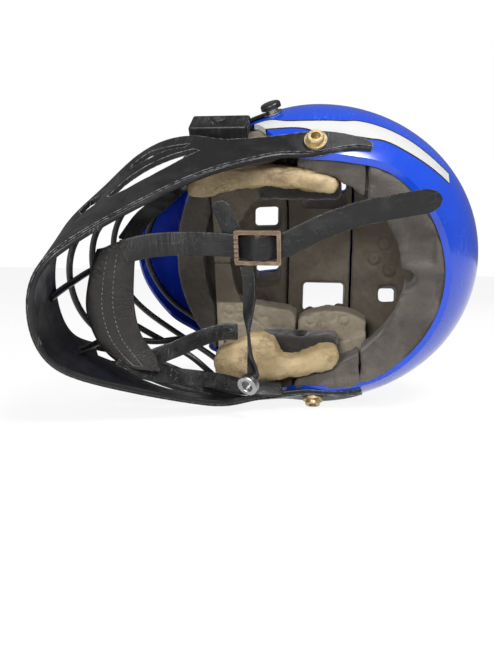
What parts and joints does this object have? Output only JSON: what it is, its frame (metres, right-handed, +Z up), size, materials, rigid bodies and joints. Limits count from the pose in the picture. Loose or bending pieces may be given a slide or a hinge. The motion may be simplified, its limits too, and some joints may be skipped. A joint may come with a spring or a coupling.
{
  "type": "lacrosse helmet",
  "caption": "Sports helmet with hard shell, peak, chin guard, wire face cage, foam liner, cheek pads and a strap harness with chin cup and buckle, lying on its side.",
  "frame": {"origin": "middle of the underside of the bounding box, with the helmet lying on its right side", "axes": "+X towards the back of the helmet, +Y towards the crown, +Z up, towards the wearer's left side"},
  "size_m": [0.3012, 0.234, 0.2279],
  "materials": {
    "shell_blue": "polished royal blue with light scratches",
    "visor_blue": "polished royal blue, darker inside",
    "black_plastic": "satin black, scuffed on edges",
    "black_wire": "satin black coating",
    "black_screw": "satin black",
    "brass": "dull tarnished brass",
    "charcoal_foam": "matt skinned foam",
    "dark_foam": "fuzzy dark cloth",
    "tan_pad": "worn, wrinkled tan leather",
    "brow_foam": "grey-brown brushed cloth",
    "brown_liner": "matt moulded foam",
    "cup_leather": "dark stitched leather",
    "cup_lining": "worn brown cloth",
    "black_strap": "semi-gloss stiff vinyl",
    "bronze_metal": "worn bronze-brown",
    "steel": "satin nickel",
    "black_metal": "semi-gloss black"
  },
  "bodies": {
    "helmet": {"brow_band": "brow_foam", "buckle": "bronze_metal", "cage_wire_centre": "black_wire", "cage_wire_high": "black_wire", "cage_wire_low": "black_wire", "cage_wire_middle": "black_wire", "cage_wire_side_left": "black_wire", "cage_wire_side_right": "black_wire", "cage_wire_top": "black_wire", "cheek_pad_left": "tan_pad", "cheek_pad_right": "tan_pad", "chin_cup": "cup_leather", "chin_cup_lining": "cup_lining", "chin_guard": "black_plastic", "crown_liner_front": "brown_liner", "crown_liner_middle": "brown_liner", "crown_liner_rear": "brown_liner", "ear_bolt_left": "brass", "ear_bolt_right": "brass", "ear_foam_left": "dark_foam", "ear_foam_right": "dark_foam", "front_left_strap": "black_strap", "front_right_strap": "black_strap", "jaw_liner_left": "brown_liner", "jaw_liner_right": "brown_liner", "main_strap": "black_strap", "mask_clip_left": "black_plastic", "mask_clip_right": "black_plastic", "mask_clip_screw_left": "black_screw", "mask_clip_screw_right": "black_screw", "outer_shell": "shell_blue", "rear_liner": "brown_liner", "rear_pad": "charcoal_foam", "rear_right_strap": "black_strap", "rear_wing_left": "charcoal_foam", "rear_wing_right": "charcoal_foam", "side_liner_back_left": "brown_liner", "side_liner_back_right": "brown_liner", "side_liner_front_left": "brown_liner", "side_liner_front_right": "brown_liner", "strap_loop_end": "black_strap", "temple_stud": "steel", "visor": "visor_blue", "visor_screw_left": "black_screw", "visor_screw_right": "black_screw"},
    "strap_tail": {"strap_tail": "black_strap"},
    "hanging_strap": {"hanging_strap": "black_strap", "hanging_snap_ring": "steel", "hanging_snap_disc": "steel"},
    "left_snap": {"temple_snap": "black_metal"}
  },
  "joints": [
    {"name": "strap_tail_flex", "type": "hinge", "parent": "helmet", "child": "strap_tail", "pos_m": [0.01462, -0.06559, 0.12212], "axis": [0, -0.2689, 0.9632], "range_deg": [-12, 12]},
    {"name": "hanging_strap_swing", "type": "hinge", "parent": "helmet", "child": "hanging_strap", "pos_m": [-0.01088, -0.06581, 0.10804], "axis": [-1, 0, 0], "range_deg": [-12, 45]},
    {"name": "left_snap_turn", "type": "hinge", "parent": "helmet", "child": "left_snap", "pos_m": [-0.00338, -0.00395, 0.21741], "axis": [-0.2703, -0.4283, 0.8623], "continuous": true}
  ]
}
